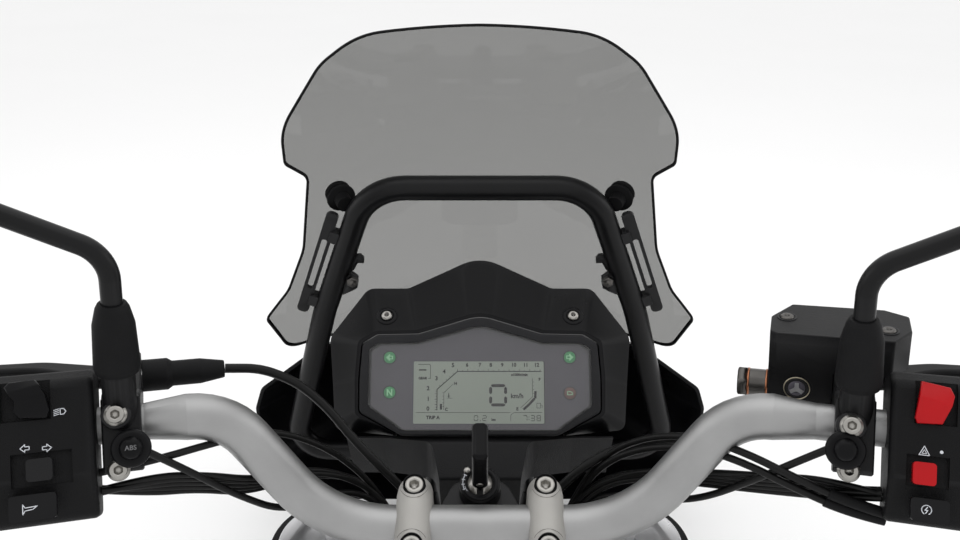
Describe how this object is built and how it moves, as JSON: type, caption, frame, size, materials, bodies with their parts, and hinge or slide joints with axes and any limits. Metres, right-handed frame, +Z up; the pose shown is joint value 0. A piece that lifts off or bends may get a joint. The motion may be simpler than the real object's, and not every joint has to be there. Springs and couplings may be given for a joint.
{
  "type": "motorcycle cockpit",
  "caption": "Front control station of an adventure motorcycle: steering head, yoke, wide handlebar with controls, mirrors, instrument, screen hoop, windscreen and front mask.",
  "frame": {"origin": "on the steering axis, at the middle of the free lower 80 mm of the head tube's outer wall", "axes": "+X to the rider's right, +Y forward, +Z up, with the motorcycle upright"},
  "size_m": [0.9714, 0.6069, 0.6324],
  "materials": {
    "frame_paint": "satin black paint",
    "steel": "turned steel",
    "cap_aluminium": "anodised silver",
    "clamp_grey": "bead blasted grey",
    "bar_silver": "satin anodised",
    "cast_black": "satin black on cast aluminium",
    "moulded_black": "fine grained black plastic",
    "switch_red": "red plastic",
    "rubber": "matt black rubber",
    "lock_steel": "satin steel",
    "smoked_screen": "smoke tinted sheet",
    "clear_lens": "clear",
    "mirror_glass": "silvered"
  },
  "bodies": {
    "frame": {"head_tube": "frame_paint", "cockpit_stay": "frame_paint", "screen_hoop": "frame_paint", "windscreen": "smoked_screen", "instrument_housing": "moulded_black", "instrument_lens": "clear_lens", "instrument_cowl": "moulded_black", "lock_cover": "moulded_black", "front_mask": "moulded_black", "headlight_housing": "moulded_black", "headlight_lens": "clear_lens", "screen_bracket_left": "frame_paint", "screen_bracket_right": "frame_paint", "screen_mount_left": "rubber", "screen_mount_right": "rubber"},
    "clutch_lever": {"clutch_lever": "cast_black"},
    "brake_lever": {"brake_lever": "cast_black"},
    "throttle": {"grip_right": "rubber"},
    "mirror_left": {"mirror_stem_left": "frame_paint", "mirror_boot_left": "rubber"},
    "mirror_right": {"mirror_stem_right": "frame_paint", "mirror_boot_right": "rubber"},
    "mirror_head_left": {"mirror_head_left": "moulded_black", "mirror_glass_left": "mirror_glass"},
    "mirror_head_right": {"mirror_head_right": "moulded_black", "mirror_glass_right": "mirror_glass"},
    "steering": {"steering_stem": "steel", "top_yoke": "frame_paint", "handlebar": "bar_silver", "ignition_lock": "lock_steel", "ignition_key": "moulded_black", "clutch_perch": "cast_black", "brake_perch": "cast_black", "reservoir_cap": "cast_black", "brake_banjo": "lock_steel", "clutch_boot": "rubber", "grip_left": "rubber", "perch_button_left": "moulded_black", "perch_button_right": "moulded_black", "left_switch_housing": "moulded_black", "right_switch_housing": "moulded_black", "dip_switch": "moulded_black", "indicator_switch": "moulded_black", "horn_button": "moulded_black", "kill_switch": "switch_red", "hazard_switch": "switch_red", "start_button": "moulded_black", "loom_left": "rubber", "loom_right": "rubber", "clutch_cable": "rubber", "brake_hose": "rubber", "fork_tube_left": "steel", "fork_cap_left": "cap_aluminium", "riser_left": "clamp_grey", "bar_cap_left": "clamp_grey", "fork_tube_right": "steel", "fork_cap_right": "cap_aluminium", "riser_right": "clamp_grey", "bar_cap_right": "clamp_grey"}
  },
  "joints": [
    {"name": "steering", "type": "hinge", "parent": "frame", "child": "steering", "pos_m": [0, 0, 0], "axis": [0, -0.4226, 0.9063], "range_deg": [-35, 35]},
    {"name": "clutch_lever_pivot", "type": "hinge", "parent": "steering", "child": "clutch_lever", "pos_m": [-0.2325, -0.02366, 0.27577], "axis": [0.0789, 0.0272, 0.9965], "range_deg": [0, 12], "stiffness_Nm_per_rad": 6, "springref_deg": -8.59},
    {"name": "brake_lever_pivot", "type": "hinge", "parent": "steering", "child": "brake_lever", "pos_m": [0.24099, -0.0266, 0.27653], "axis": [0.0789, -0.0272, -0.9965], "range_deg": [0, 12], "stiffness_Nm_per_rad": 6, "springref_deg": -8.59},
    {"name": "throttle_twist", "type": "hinge", "parent": "steering", "child": "throttle", "pos_m": [0.297, -0.09882, 0.27892], "axis": [0.942, -0.3251, 0.0835], "range_deg": [0, 70], "stiffness_Nm_per_rad": 0.25, "springref_deg": -22.92},
    {"name": "mirror_swivel_left", "type": "hinge", "parent": "steering", "child": "mirror_left", "pos_m": [-0.20992, -0.07935, 0.31364], "axis": [0.0789, 0.0272, 0.9965], "range_deg": [-10, 10]},
    {"name": "mirror_tilt_left", "type": "hinge", "parent": "mirror_left", "child": "mirror_head_left", "pos_m": [-0.37538, -0.11952, 0.47034], "axis": [0.9511, 0.309, 0], "range_deg": [-10, 10]},
    {"name": "mirror_swivel_right", "type": "hinge", "parent": "steering", "child": "mirror_right", "pos_m": [0.21913, -0.08253, 0.30543], "axis": [-0.0789, 0.0272, 0.9965], "range_deg": [-10, 10]},
    {"name": "mirror_tilt_right", "type": "hinge", "parent": "mirror_right", "child": "mirror_head_right", "pos_m": [0.38459, -0.1227, 0.46213], "axis": [0.9511, -0.309, 0], "range_deg": [-10, 10]}
  ]
}
